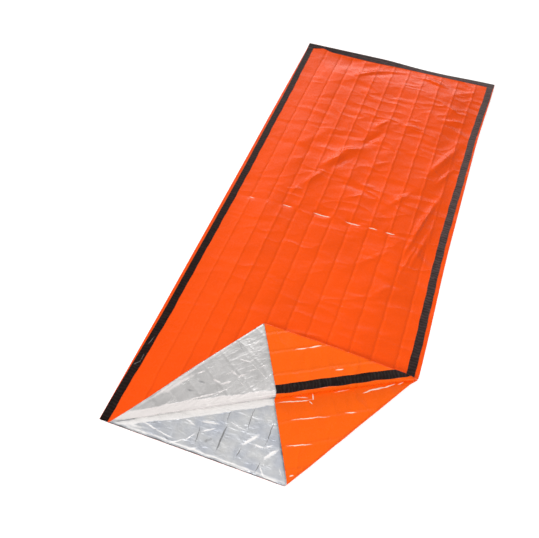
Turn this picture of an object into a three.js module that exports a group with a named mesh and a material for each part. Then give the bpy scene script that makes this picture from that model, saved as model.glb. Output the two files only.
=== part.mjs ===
// Emergency sleeping bag of thin film, lying flat on the floor with one corner of its mouth turned back.
// Millimetres, +Z up, +Y towards the foot. The origin is on the floor under the middle of the bag.
// Flat places on a sheet are given as `across`, from its left edge, and `along`, from its mouth edge.
import * as THREE from 'three';
import { mergeVertices } from 'three/addons/utils/BufferGeometryUtils.js';

const { clamp, degToRad, lerp, smoothstep } = THREE.MathUtils;

// Driving dimensions
const BAG = { width: 910, length: 2130 };
const FILM = { thickness: 1.2, apart: 0.4 };
const TAPE = { width: 28, footWidth: 30, footMargin: 1, thickness: 1, apart: 0.3 };

// The corner that is turned back: where its fold starts on the mouth edge, how far up the right side it ends,
// the film's last line before the fold, and the small relief at the fold's end, where all the layers meet.
const CORNER = { start: 34, climb: 484, lineBefore: 30, relief: 6 };

// Air in the bag: the flat band along the seams, how far in it is fully raised, and by how much.
const AIR = { seamBand: 45, fullFrom: 210, rise: 14 };

// Creases left by the packed size. The bag was folded in half first, so there is one groove across, and each
// lengthwise line that is a ridge (1) or a valley (-1) on the mouth's side of it is the other one beyond it.
// The bottom film shows the same lines in the open mouth, where it rises between them.
const CREASES = [
  { across: 100, fold: 1 },
  { across: 175, fold: 1 },
  { across: 237, fold: 1 },
  { across: 300, fold: -1 },
  { across: 371, fold: -1 },
  { across: 443, fold: -1 },
  { across: 516, fold: -1 },
  { across: 591, fold: -1 },
  { across: 669, fold: -1 },
  { across: 745, fold: -1 },
  { across: 828, fold: -1 },
];
const CREASE = { rise: 1.5, halfWidth: 31, crossAt: 1055, crossHalfWidth: 45, crossDepth: 3 };
const MOUTH_CREASE = { rise: 3, fullTo: 260, goneFrom: 420 };

// The foot seam curls up in its middle.
const FOOT_CURL = { rise: 8, length: 80 };

// The outline's drift from straight sides, and the bare film outside each side tape, along the bag. The drift
// fades out between two distances from the side.
const SIDES = [
  { along: 0, leftDrift: 0, rightDrift: 0, leftMargin: 1, rightMargin: 14 },
  { along: 484, leftDrift: 2, rightDrift: 0, leftMargin: 11, rightMargin: 14 },
  { along: 1100, leftDrift: 2, rightDrift: -11, leftMargin: 13, rightMargin: 15 },
  { along: 1650, leftDrift: 0, rightDrift: -12, leftMargin: 10, rightMargin: 8 },
  { along: 2130, leftDrift: 0, rightDrift: 0, leftMargin: 2, rightMargin: 3 },
];
const DRIFT_FADE = { from: 40, to: 260 };

// Soft ridges, and troughs with a negative rise: middle, length, width, turn from the mouth edge, and rise.
const WRINKLES = [
  { across: 390, along: 1995, length: 300, width: 60, turn: 32, rise: 6 },
  { across: 350, along: 2045, length: 300, width: 50, turn: 6, rise: -4 },
  { across: 650, along: 2035, length: 160, width: 50, turn: -24, rise: 5 },
  { across: 785, along: 1855, length: 130, width: 60, turn: -8, rise: 5 },
  { across: 785, along: 1775, length: 130, width: 50, turn: 15, rise: 4 },
  { across: 630, along: 1670, length: 130, width: 60, turn: 0, rise: 4 },
  { across: 478, along: 1600, length: 210, width: 60, turn: 66, rise: 5 },
  { across: 790, along: 1515, length: 250, width: 65, turn: 69, rise: 6 },
  { across: 375, along: 1385, length: 240, width: 65, turn: 50, rise: 6 },
  { across: 335, along: 1265, length: 190, width: 60, turn: 55, rise: 4 },
  { across: 785, along: 1095, length: 450, width: 60, turn: 80, rise: 5 },
];

// Fold lines through the pivot on the right side, at a tilt from the mouth edge.
const PIVOT = { across: BAG.width, along: CORNER.climb };
const TURN_TILT = Math.atan2(CORNER.climb, BAG.width - CORNER.start);
const TURN_LENGTH = Math.hypot(CORNER.climb, BAG.width - CORNER.start);
const EAR_HALF_ANGLE = (Math.PI / 2 - TURN_TILT) / 2;
const EAR_TILT = Math.PI / 2 - EAR_HALF_ANGLE;
const EAR_FOOT = BAG.width - CORNER.climb * Math.tan(EAR_HALF_ANGLE);

// A fold's film rolls over at a radius that grows from the pivot, and then sinks to its rest height. Its roll
// begins `lead` radians before the fold line, and its turned part slides along that line, most at its middle.
const MOUTH_TURN = {
  tilt: TURN_TILT, side: 1, radius: 10.5, least: 1.2, lead: 1.25, slide: 15,
  fromPivot: 0.24, fromStart: 0.02, rest: 6, sinkLength: 130,
};
const FLAP_EAR_TURN = {
  tilt: EAR_TILT, side: -1, radius: 3, least: 0.9, lead: Math.PI / 2, slide: 0,
  fromPivot: 0.1, fromStart: Infinity, rest: 6, sinkLength: 100,
};
const UNDER_EAR_TURN = {
  tilt: EAR_TILT, side: 1, radius: 7, least: 1.2, lead: Math.PI / 2, slide: 0,
  fromPivot: 0.2, fromStart: Infinity, rest: 14, sinkLength: 100,
};

// The bottom film's ear rises to meet the flap's: how far from the pivot that begins, and how it curves up.
const UNDER_EAR_LIFT = { easeIn: 24, power: 1.5 };

const SEAM_HEIGHT = 1.5 * FILM.thickness + FILM.apart;

const ORANGE_FILM = new THREE.MeshStandardMaterial({ color: 0xff5a1e, roughness: 0.35, metalness: 0.1 });
const BLACK_TAPE = new THREE.MeshStandardMaterial({ color: 0x332b2b, roughness: 0.75, metalness: 0 });

function sideAt(along, column) {
  const last = SIDES.length - 1;
  const next = clamp(SIDES.findIndex((row) => row.along > along), 1, last);
  const row = along >= SIDES[last].along ? last : next;
  const from = SIDES[row - 1];
  const to = SIDES[row];
  return lerp(from[column], to[column], smoothstep(along, from.along, to.along));
}

function drift(across, along) {
  const byLeft = 1 - smoothstep(across, DRIFT_FADE.from, DRIFT_FADE.to);
  const byRight = 1 - smoothstep(BAG.width - across, DRIFT_FADE.from, DRIFT_FADE.to);
  return byLeft * sideAt(along, 'leftDrift') + byRight * sideAt(along, 'rightDrift');
}

// Height of the lengthwise creases at a place across the bag, from -1 on a valley line to 1 on a ridge line.
function lengthwiseFold(across) {
  return CREASES.reduce((sum, crease) => (
    sum + crease.fold * Math.max(0, 1 - Math.abs(across - crease.across) / CREASE.halfWidth)
  ), 0);
}

// How far a place is clear of the seams, from 0 in their flat band to 1 where the bag is fully raised.
function clearOfSeams(across, along) {
  const fromSide = Math.min(across, BAG.width - across);
  return smoothstep(fromSide, AIR.seamBand, AIR.fullFrom)
    * smoothstep(BAG.length - along, AIR.seamBand, AIR.fullFrom);
}

function topCrease(across, along) {
  const fromCross = clamp((CREASE.crossAt - along) / CREASE.crossHalfWidth, -1, 1);
  const lengthwise = CREASE.rise * fromCross * lengthwiseFold(across);
  return clearOfSeams(across, along) * (lengthwise - CREASE.crossDepth * (1 - Math.abs(fromCross)));
}

function bottomCrease(across, along) {
  const inMouth = 1 - smoothstep(along, MOUTH_CREASE.fullTo, MOUTH_CREASE.goneFrom);
  return MOUTH_CREASE.rise * clearOfSeams(across, along) * inMouth * (1 - Math.abs(lengthwiseFold(across)));
}

function wrinkleRise(across, along) {
  return WRINKLES.reduce((sum, wrinkle) => {
    const turn = degToRad(wrinkle.turn);
    const dx = across - wrinkle.across;
    const dy = along - wrinkle.along;
    const lengthwise = (dx * Math.cos(turn) + dy * Math.sin(turn)) / (wrinkle.length / 2);
    const sideways = (dy * Math.cos(turn) - dx * Math.sin(turn)) / (wrinkle.width / 2);
    return sum + wrinkle.rise * Math.exp(-(lengthwise ** 2) - sideways ** 2);
  }, 0);
}

function footCurl(across, along) {
  const bow = 1 - (2 * across / BAG.width - 1) ** 2;
  const lift = clamp((along - BAG.length + FOOT_CURL.length) / FOOT_CURL.length, 0, 1);
  return FOOT_CURL.rise * bow * lift ** 2;
}

// Height that the bag's air and wrinkles give the middle of the top film above the floor.
function topHeight(across, along) {
  const clear = clearOfSeams(across, along);
  const raised = clear * AIR.rise + Math.sqrt(clear) * wrinkleRise(across, along);
  return SEAM_HEIGHT + raised + footCurl(across, along);
}

function rollRadius(fold, away) {
  const fromStart = fold.fromStart === Infinity ? Infinity : fold.fromStart * (TURN_LENGTH - away);
  return Math.max(fold.least, Math.min(fold.radius, fold.fromPivot * away, fromStart));
}

// How far the turned film slides along a fold line at a place on it, after a part of its turn.
function slideAt(fold, away, swing) {
  const share = clamp(away / TURN_LENGTH, 0, 1);
  return fold.slide * 4 * share * (1 - share) * swing / Math.PI;
}

// Turns a point of flat film, `up` from the film's middle, over a fold line.
function turnOver({ across, along, up }, fold) {
  const cosine = Math.cos(fold.tilt);
  const sine = Math.sin(fold.tilt);
  const dx = across - PIVOT.across;
  const dy = along - PIVOT.along;
  const away = -dx * cosine - dy * sine;
  const past = dx * sine - dy * cosine;
  const radius = rollRadius(fold, away);
  const start = -fold.lead * radius;
  if (past <= start) return { across, along, up };
  const swing = Math.min((past - start) / radius, Math.PI);
  const beyond = Math.max(past - start - Math.PI * radius, 0);
  const arm = radius - fold.side * up;
  const reach = start + arm * Math.sin(swing) - beyond;
  const slid = away - slideAt(fold, away, swing);
  const sunk = Math.max(2 * radius - fold.rest, 0) * (1 - Math.exp(-beyond / fold.sinkLength));
  return {
    across: PIVOT.across - slid * cosine + reach * sine,
    along: PIVOT.along - slid * sine - reach * cosine,
    up: fold.side * (radius - arm * Math.cos(swing) - sunk),
  };
}

function inPart(across, along, height) {
  const x = across + drift(across, along) - BAG.width / 2;
  return new THREE.Vector3(x, along - BAG.length / 2, height);
}

// The top film: its loose corner turns under the flap, then the flap with it turns back over the base.
function topPlace(across, along, up) {
  const eared = turnOver({ across, along, up: up + topCrease(across, along) }, FLAP_EAR_TURN);
  const lain = turnOver(eared, MOUTH_TURN);
  return inPart(lain.across, lain.along, lain.up + topHeight(lain.across, lain.along));
}

// The bottom film: flat on the floor, with its corner turned up and raised to meet the top film's corner.
function bottomPlace(across, along, up) {
  const lain = turnOver({ across, along, up: up + bottomCrease(across, along) }, UNDER_EAR_TURN);
  const middle = turnOver({ across, along, up: 0 }, UNDER_EAR_TURN).up + FILM.thickness / 2;
  const down = Math.max(PIVOT.along - along, 0);
  const earWidth = Math.max(down * Math.tan(EAR_HALF_ANGLE), FILM.thickness);
  const onEar = clamp(1 - (BAG.width - across) / earWidth, 0, 1) * smoothstep(down, 0, UNDER_EAR_LIFT.easeIn);
  const slid = slideAt(MOUTH_TURN, down, MOUTH_TURN.lead);
  const seamAcross = PIVOT.across - (down - slid) * Math.cos(TURN_TILT);
  const seamAlong = PIVOT.along - (down - slid) * Math.sin(TURN_TILT);
  const roll = rollRadius(MOUTH_TURN, down);
  const arm = roll + 2 * rollRadius(FLAP_EAR_TURN, down * Math.cos(EAR_HALF_ANGLE));
  const seamUp = roll - arm * Math.cos(MOUTH_TURN.lead);
  const seamReach = (arm + FILM.thickness) * Math.sin(MOUTH_TURN.lead) - MOUTH_TURN.lead * roll + FILM.apart;
  const rise = onEar ** UNDER_EAR_LIFT.power * (topHeight(seamAcross, seamAlong) + seamUp - middle);
  const aside = onEar * seamReach;
  const ahead = onEar * slid;
  const placedAcross = lain.across + aside * Math.sin(TURN_TILT) + ahead * Math.cos(TURN_TILT);
  const placedAlong = lain.along - aside * Math.cos(TURN_TILT) + ahead * Math.sin(TURN_TILT);
  const curl = footCurl(placedAcross, placedAlong);
  return inPart(placedAcross, placedAlong, lain.up + FILM.thickness / 2 + rise + curl);
}

// Where a fold line, and the edges of its roll, cross a lengthwise line of the film.
function foldCrossing(fold, across) {
  const out = BAG.width - across;
  const middle = PIVOT.along - out * Math.tan(fold.tilt);
  const radius = rollRadius(fold, out / Math.cos(fold.tilt)) / Math.cos(fold.tilt);
  return [middle - (Math.PI - fold.lead) * radius, middle + fold.lead * radius];
}

// Bands of rows along the film, each with its number of steps.
const EAR_BANDS = { ear: 6, earTurn: 6 };
const TOP_BANDS = { ...EAR_BANDS, flap: 6, mouthTurn: 8, near: 12, cross: 2, far: 15, curl: 2, hem: 2 };
const BOTTOM_BANDS = { ...EAR_BANDS, mouth: 6, base: 5, curl: 2, hem: 2 };

const HEM_START = BAG.length - TAPE.footMargin - TAPE.footWidth;
const CURL_START = BAG.length - FOOT_CURL.length;

function topEdges(across) {
  const cross = [CREASE.crossAt - CREASE.crossHalfWidth, CREASE.crossAt + CREASE.crossHalfWidth];
  const folds = [...foldCrossing(FLAP_EAR_TURN, across), ...foldCrossing(MOUTH_TURN, across)];
  return [0, ...folds, ...cross, CURL_START, HEM_START, BAG.length];
}

function bottomEdges(across) {
  const mouthEnd = PIVOT.along + AIR.seamBand;
  return [0, ...foldCrossing(UNDER_EAR_TURN, across), mouthEnd, CURL_START, HEM_START, BAG.length];
}

// Rows at a lengthwise line: every band split evenly, and held at the mouth edge where a fold hasn't begun.
function rowsAt(bands, edges) {
  const held = edges.map((edge) => Math.max(edge, 0));
  const steps = Object.values(bands);
  const rows = steps.flatMap((count, band) => Array.from(
    { length: count }, (_, step) => lerp(held[band], held[band + 1], step / count),
  ));
  return [...rows, BAG.length];
}

// Lines on the ear beside its seam: the bend over the mouth's roll, and the edges of the tape there.
const EAR_TAPE_OUT = SIDES[0].rightMargin;
const EAR_BEND_OUT = (Math.PI - MOUTH_TURN.lead) * MOUTH_TURN.radius;
const EAR_LINES_OUT = [0, 2 * EAR_TAPE_OUT / 3, EAR_TAPE_OUT, EAR_BEND_OUT, EAR_TAPE_OUT + TAPE.width];

// Lengthwise lines: the creases, the middles between them, the sides of the ear's fold, and the ear's lines.
function filmColumns(earFold) {
  const lines = CREASES.map((crease) => crease.across);
  const middles = lines.slice(1).map((line, k) => (line + lines[k]) / 2);
  const earRoll = Math.PI * earFold.radius / 2 / Math.cos(EAR_HALF_ANGLE);
  const ear = [EAR_FOOT - earRoll, EAR_FOOT + earRoll, ...EAR_LINES_OUT.map((out) => BAG.width - out)];
  const left = [0, CORNER.lineBefore, AIR.seamBand, lines[0] - CREASE.halfWidth];
  return [...left, ...lines, ...middles, ...ear].sort((a, b) => a - b);
}

// A closed sheet between two heights over the film's middle, from a grid of flat places. Both faces share
// their diagonals, and cells that a fold closes up are left out.
function sheet(columns, rows, flatAt, place, low, high) {
  const upper = new THREE.PlaneGeometry(1, 1, columns, rows).getIndex().array;
  const across = columns + 1;
  const count = across * (rows + 1);
  const spots = [high, low].flatMap((up) => Array.from({ length: count }, (_, k) => {
    const flat = flatAt(k % across, rows - Math.floor(k / across));
    return place(flat.across, flat.along, up);
  }));
  const rim = [
    ...Array.from({ length: columns }, (_, k) => rows * across + k),
    ...Array.from({ length: rows }, (_, k) => (rows - k) * across + columns),
    ...Array.from({ length: columns }, (_, k) => columns - k),
    ...Array.from({ length: rows }, (_, k) => k * across),
  ];
  const triangles = [...upper];
  for (let k = 0; k < upper.length; k += 3) {
    triangles.push(upper[k + 2] + count, upper[k + 1] + count, upper[k] + count);
  }
  rim.forEach((from, k) => {
    const to = rim[(k + 1) % rim.length];
    triangles.push(from + count, to + count, to, from + count, to, from);
  });
  const geometry = new THREE.BufferGeometry().setFromPoints(spots);
  geometry.setIndex(triangles);
  const joined = mergeVertices(geometry);
  const corners = joined.getIndex().array;
  const open = [];
  for (let k = 0; k < corners.length; k += 3) {
    const triangle = corners.slice(k, k + 3);
    if (new Set(triangle).size === 3) open.push(...triangle);
  }
  joined.setIndex(open);
  joined.computeVertexNormals();
  return joined;
}

function piece(name, geometry, material) {
  const mesh = new THREE.Mesh(geometry, material);
  mesh.name = name;
  return mesh;
}

function topPanel() {
  const columns = filmColumns(FLAP_EAR_TURN);
  const rowCount = rowsAt(TOP_BANDS, topEdges(0)).length - 1;
  const flatAt = (column, row) => {
    const edge = columns[column];
    const straight = rowsAt(TOP_BANDS, topEdges(edge))[row];
    const toPivot = Math.abs(straight - PIVOT.along) / CORNER.relief;
    const across = edge === BAG.width ? edge - CORNER.relief * Math.max(0, 1 - toPivot) : edge;
    return { across, along: rowsAt(TOP_BANDS, topEdges(across))[row] };
  };
  const half = FILM.thickness / 2;
  return piece('top_panel', sheet(columns.length - 1, rowCount, flatAt, topPlace, -half, half), ORANGE_FILM);
}

function bottomPanel() {
  const columns = filmColumns(UNDER_EAR_TURN);
  const rowCount = rowsAt(BOTTOM_BANDS, bottomEdges(0)).length - 1;
  const flatAt = (column, row) => {
    const across = columns[column];
    return { across, along: rowsAt(BOTTOM_BANDS, bottomEdges(across))[row] };
  };
  const half = FILM.thickness / 2;
  const film = sheet(columns.length - 1, rowCount, flatAt, bottomPlace, -half, half);
  return piece('bottom_panel', film, ORANGE_FILM);
}

const TAPE_LOW = FILM.thickness / 2 + TAPE.apart;
const TAPE_HIGH = TAPE_LOW + TAPE.thickness;

// A side tape follows the top film from its mouth edge to just short of the foot tape. Its lengthwise lines
// are its inner edge, the line where it bends over the mouth's roll, and its outer edge.
const TAPE_SHARES = [0, 1 - (EAR_BEND_OUT - EAR_TAPE_OUT) / TAPE.width, 1];

function sideTape(name, acrossAt) {
  const rowCount = rowsAt(TOP_BANDS, topEdges(0)).length - 1 - TOP_BANDS.hem;
  const flatAt = (column, row) => {
    const share = TAPE_SHARES[column];
    const near = rowsAt(TOP_BANDS, topEdges(acrossAt(0, share)))[row];
    const across = acrossAt(near, share);
    const along = rowsAt(TOP_BANDS, topEdges(across))[row];
    return { across, along: Math.min(along, HEM_START - FILM.apart) };
  };
  const strip = sheet(TAPE_SHARES.length - 1, rowCount, flatAt, topPlace, TAPE_LOW, TAPE_HIGH);
  return piece(name, strip, BLACK_TAPE);
}

function footTape() {
  const columns = filmColumns(FLAP_EAR_TURN);
  const rows = TOP_BANDS.hem;
  const flatAt = (column, row) => ({
    across: clamp(columns[column], TAPE.footMargin, BAG.width - TAPE.footMargin),
    along: HEM_START + row * TAPE.footWidth / rows,
  });
  const strip = sheet(columns.length - 1, rows, flatAt, topPlace, TAPE_LOW, TAPE_HIGH);
  return piece('foot_tape', strip, BLACK_TAPE);
}

const sleepingBag = new THREE.Group();
sleepingBag.add(
  bottomPanel(),
  topPanel(),
  sideTape('left_tape', (along, share) => sideAt(along, 'leftMargin') + share * TAPE.width),
  sideTape('right_tape', (along, share) => (
    BAG.width - sideAt(along, 'rightMargin') - (1 - share) * TAPE.width
  )),
  footTape(),
);

const box = new THREE.Box3().setFromObject(sleepingBag);
sleepingBag.position.x = -(box.min.x + box.max.x) / 2;

export default sleepingBag;
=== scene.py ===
"""Looks of a flat emergency sleeping bag: two films with their creases, three tapes, and a white studio.

Flat places on the films are given as `across`, from the left edge, and `along`, from the mouth edge. Plan places
are where they lie in the bag, seen from above, from the same corner. All sizes are in metres.
"""

import math
import random
from types import SimpleNamespace
from typing import NamedTuple

import bmesh
import bpy
import numpy as np
from bpy.props import FloatProperty, FloatVectorProperty, PointerProperty
from mathutils import Euler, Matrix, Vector


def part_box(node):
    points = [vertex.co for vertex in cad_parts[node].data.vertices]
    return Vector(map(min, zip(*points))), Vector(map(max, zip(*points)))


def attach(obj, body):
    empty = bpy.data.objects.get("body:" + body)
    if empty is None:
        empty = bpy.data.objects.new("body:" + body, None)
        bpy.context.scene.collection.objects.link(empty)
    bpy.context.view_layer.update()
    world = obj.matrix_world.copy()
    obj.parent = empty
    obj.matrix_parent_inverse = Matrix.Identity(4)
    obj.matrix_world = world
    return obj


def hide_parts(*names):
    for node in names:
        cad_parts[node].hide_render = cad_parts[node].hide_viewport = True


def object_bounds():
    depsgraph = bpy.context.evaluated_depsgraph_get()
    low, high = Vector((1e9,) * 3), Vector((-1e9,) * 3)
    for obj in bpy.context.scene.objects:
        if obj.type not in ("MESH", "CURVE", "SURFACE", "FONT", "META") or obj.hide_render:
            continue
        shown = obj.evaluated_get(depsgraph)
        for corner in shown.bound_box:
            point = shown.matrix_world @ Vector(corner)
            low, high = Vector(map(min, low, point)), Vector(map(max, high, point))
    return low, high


bl_info = {
    "name": "Emergency Sleeping Bag",
    "version": (1, 0, 0),
    "blender": (4, 5, 0),
    "location": "3D View > Sidebar > Sleeping Bag",
    "description": "Builds a flat emergency sleeping bag with one corner of its mouth turned back",
    "category": "Add Mesh",
}

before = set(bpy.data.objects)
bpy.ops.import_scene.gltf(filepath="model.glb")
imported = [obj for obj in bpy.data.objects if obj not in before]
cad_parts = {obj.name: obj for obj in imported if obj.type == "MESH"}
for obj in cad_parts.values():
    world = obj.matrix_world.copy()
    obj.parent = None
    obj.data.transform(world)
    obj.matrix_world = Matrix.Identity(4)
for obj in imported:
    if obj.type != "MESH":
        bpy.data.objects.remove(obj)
CAD_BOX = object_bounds()
CAD_LENGTH = CAD_BOX[1][1] - CAD_BOX[0][1]


class BagSizes(bpy.types.PropertyGroup):
    """Sizes of the bag's films and tapes, and of its turned-back corner."""

    width: FloatProperty(
        name="Width", description="Flat width across the mouth", default=0.910, unit="LENGTH"
    )
    length: FloatProperty(
        name="Length", description="Flat length from mouth to foot", default=CAD_LENGTH, unit="LENGTH"
    )
    film: FloatProperty(
        name="Film", description="Thickness of the film as it is drawn", default=0.0004, unit="LENGTH"
    )
    tape_width: FloatProperty(
        name="Side Tape", description="Width of the side tapes", default=0.028, unit="LENGTH"
    )
    foot_tape_width: FloatProperty(
        name="Foot Tape", description="Width of the foot tape", default=0.030, unit="LENGTH"
    )
    tape: FloatProperty(
        name="Tape", description="Thickness of the tape", default=0.0005, unit="LENGTH"
    )
    corner_start: FloatProperty(
        name="Fold Start", description="Where the turned corner's fold leaves the mouth edge",
        default=0.034, unit="LENGTH",
    )
    corner_climb: FloatProperty(
        name="Fold End", description="How far up the right side the turned corner's fold ends",
        default=0.484, unit="LENGTH",
    )
    air: FloatProperty(
        name="Air", description="How far the air in the bag raises its top film", default=0.014, unit="LENGTH"
    )


class BagColours(bpy.types.PropertyGroup):
    """Colours of the films, the tapes and the floor."""

    outside: FloatVectorProperty(
        name="Outside", description="Orange outside of the film", subtype="COLOR", default=(0.95, 0.085, 0.003)
    )
    # Painted light: the folded corner's orange is lighter and yellower than the rest of the film, standing in for
    # more light on it.
    corner: FloatVectorProperty(
        name="Corner", description="Orange of the folded corner", subtype="COLOR", default=(0.97, 0.125, 0.004)
    )
    inside: FloatVectorProperty(
        name="Inside", description="Metallised inside of the film", subtype="COLOR", default=(0.97, 0.975, 1.0)
    )
    tape: FloatVectorProperty(
        name="Tape", description="Cloth-backed black tape", subtype="COLOR", default=(0.010, 0.004, 0.003)
    )
    floor: FloatVectorProperty(
        name="Floor", description="White studio floor", subtype="COLOR", default=(0.95, 0.95, 0.95)
    )


class StudioSizes(bpy.types.PropertyGroup):
    """Where the camera stands and how wide it looks."""

    camera_place: FloatVectorProperty(
        name="Camera", description="Where the camera stands", subtype="TRANSLATION", default=(0.344, -1.739, 1.965)
    )
    camera_turn: FloatVectorProperty(
        name="Camera Turn", description="How the camera is turned", subtype="EULER",
        default=(math.radians(37.45), math.radians(-0.45), math.radians(20.12)),
    )
    lens: FloatProperty(
        name="Lens", description="Focal length in millimetres on a sensor 36 mm wide", default=44.88,
        unit="CAMERA",
    )


def table(kind, *rows):
    """Rows of numbers, each made one of a kind."""
    return tuple(kind(*row) for row in rows)


class Side(NamedTuple):
    """The outline at a place along the bag: each side's drift from straight, and the bare film outside its tape."""

    along: float
    left_drift: float
    right_drift: float
    left_margin: float
    right_margin: float


SIDES = table(
    Side,
    (0.000, 0.000, 0.000, 0.001, 0.014),
    (0.484, 0.002, 0.000, 0.011, 0.014),
    (1.100, 0.002, -0.011, 0.013, 0.015),
    (1.650, 0.000, -0.012, 0.010, 0.008),
    (2.130, 0.000, 0.000, 0.002, 0.003),
)
# How far from a side its drift begins to fade, and where it has faded.
DRIFT_EASE = (0.040, 0.260)


class Crease(NamedTuple):
    """A lengthwise packing crease: its flat place across, a ridge (1) or a valley (-1) near the mouth, its rise."""

    across: float
    fold: int
    rise: float


CREASES = table(
    Crease,
    (0.100, 1, 0.0008),
    (0.175, 1, 0.0014),
    (0.237, 1, 0.0018),
    (0.300, -1, 0.0015),
    (0.371, -1, 0.0014),
    (0.443, -1, 0.0014),
    (0.516, -1, 0.0012),
    (0.591, -1, 0.0012),
    (0.669, -1, 0.0014),
    (0.745, -1, 0.0014),
    (0.828, -1, 0.0014),
)
# How far a crease reaches to its sides, and over what length it turns about at the groove across the bag.
CREASE_REACH = 0.016
TURN_ABOUT = 0.020

# The groove across the middle of the bag, the crease across the mouth, and how the flap's creases are calmed.
CROSS_AT = 1.055
CROSS_REACH = 0.010
CROSS_DEPTH = 0.0008
CROSS_BAND = 0.030
MOUTH_CROSS_AT = 0.125
MOUTH_CROSS_DEPTH = 0.0012
FLAP_CALM = 0.6
FLAP_CALM_REACH = 0.030

# The waver of a side tape's edges.
TAPE_WAVER = 0.0011
WAVER_LENGTHS = (0.031, 0.013)
WAVER_SHIFT = 4


class FootTuck(NamedTuple):
    """A place across the foot where the tape's inner edge moves out, and where the seam is drawn in."""

    across: float
    width: float
    inner: float
    outer: float


FOOT_TUCKS = table(
    FootTuck,
    (0.078, 0.060, 0.013, 0.000),
    (0.330, 0.260, -0.006, 0.000),
    (0.650, 0.280, 0.000, 0.008),
)


class Dash(NamedTuple):
    """A stretch of the groove across the bag that is pressed in sharply."""

    start: float
    end: float
    depth: float


CROSS_DASHES = table(
    Dash,
    (0.090, 0.118, 0.0016),
    (0.238, 0.276, 0.0028),
    (0.368, 0.430, 0.0034),
    (0.500, 0.552, 0.0034),
    (0.585, 0.622, 0.0018),
    (0.655, 0.690, 0.0028),
)
# How a dash begins and ends, outside and inside its stretch, and its bright line in the finish, which is a painted
# highlight.
DASH_EASE_OUT = 0.006
DASH_EASE_IN = 0.004
DASH_REACH = 1.3
DASH_WIDTH = 0.006
DASH_GLINT = 400


class Wrinkle(NamedTuple):
    """A ridge, or a trough with a negative rise: its plan middle, length, width, turn from the mouth edge, rise."""

    across: float
    along: float
    length: float
    width: float
    turn: float
    rise: float


# The same broad forms as in the solids.
BROAD_WRINKLES = table(
    Wrinkle,
    (0.390, 1.995, 0.300, 0.060, 32, 0.0036),
    (0.350, 2.045, 0.300, 0.050, 6, -0.0025),
    (0.650, 2.035, 0.160, 0.050, -24, 0.0030),
    (0.785, 1.855, 0.130, 0.060, -8, 0.0030),
    (0.785, 1.775, 0.130, 0.050, 15, 0.0025),
    (0.630, 1.670, 0.130, 0.060, 0, 0.0025),
    (0.478, 1.600, 0.210, 0.060, 66, 0.0030),
    (0.790, 1.515, 0.250, 0.065, 69, 0.0036),
    (0.375, 1.385, 0.240, 0.065, 50, 0.0036),
    (0.335, 1.265, 0.190, 0.060, 55, 0.0025),
    (0.785, 1.095, 0.450, 0.060, 80, 0.0030),
)

# Sharper lines on the top film between its fold and the foot.
BASE_WRINKLES = table(
    Wrinkle,
    (0.455, 2.052, 0.130, 0.034, 16, 0.0028),
    (0.345, 1.998, 0.180, 0.040, 38, 0.0055),
    (0.400, 2.006, 0.220, 0.045, 30, -0.0026),
    (0.650, 2.038, 0.140, 0.036, -24, 0.0045),
    (0.795, 2.010, 0.120, 0.028, 32, 0.0026),
    (0.765, 1.862, 0.070, 0.024, -30, 0.0026),
    (0.810, 1.852, 0.060, 0.022, 10, 0.0026),
    (0.790, 1.786, 0.110, 0.028, 14, 0.0040),
    (0.790, 1.758, 0.120, 0.034, 10, -0.0022),
    (0.795, 1.525, 0.260, 0.042, 67, 0.0065),
    (0.822, 1.440, 0.140, 0.030, 66, 0.0040),
    (0.620, 1.725, 0.060, 0.020, 0, 0.0014),
    (0.625, 1.680, 0.090, 0.026, -5, 0.0035),
    (0.488, 1.655, 0.080, 0.030, 55, 0.0045),
    (0.472, 1.545, 0.140, 0.040, 60, -0.0050),
    (0.405, 1.445, 0.100, 0.036, 30, 0.0055),
    (0.360, 1.375, 0.160, 0.044, 58, 0.0060),
    (0.392, 1.370, 0.160, 0.040, 58, -0.0042),
    (0.310, 1.240, 0.130, 0.034, 62, 0.0045),
    (0.550, 1.412, 0.080, 0.026, 35, 0.0018),
    (0.525, 1.268, 0.070, 0.022, 5, 0.0018),
    (0.495, 1.195, 0.070, 0.022, 30, 0.0018),
    (0.255, 1.150, 0.070, 0.020, 15, 0.0020),
    (0.257, 1.150, 0.060, 0.020, 75, 0.0020),
    (0.793, 1.190, 0.270, 0.026, 76, 0.0050),
    (0.775, 1.100, 0.300, 0.022, 79, 0.0034),
    (0.805, 1.025, 0.260, 0.024, 79, 0.0038),
    (0.772, 0.960, 0.180, 0.018, 78, 0.0026),
    (0.670, 1.245, 0.120, 0.032, 55, 0.0036),
    (0.655, 0.930, 0.110, 0.028, 45, 0.0018),
    (0.708, 0.780, 0.090, 0.028, 50, 0.0016),
)


class Line(NamedTuple):
    """A fine crease on a film's flat map: middle, length, width, turn from the mouth edge, and its light mark.

    A ridge with a positive light mark is painted paler than the film, a painted highlight, and is raised a little; a
    valley, with a negative light mark, is painted darker, a painted shade.
    """

    across: float
    along: float
    length: float
    width: float
    turn: float
    light_mark: float
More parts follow.
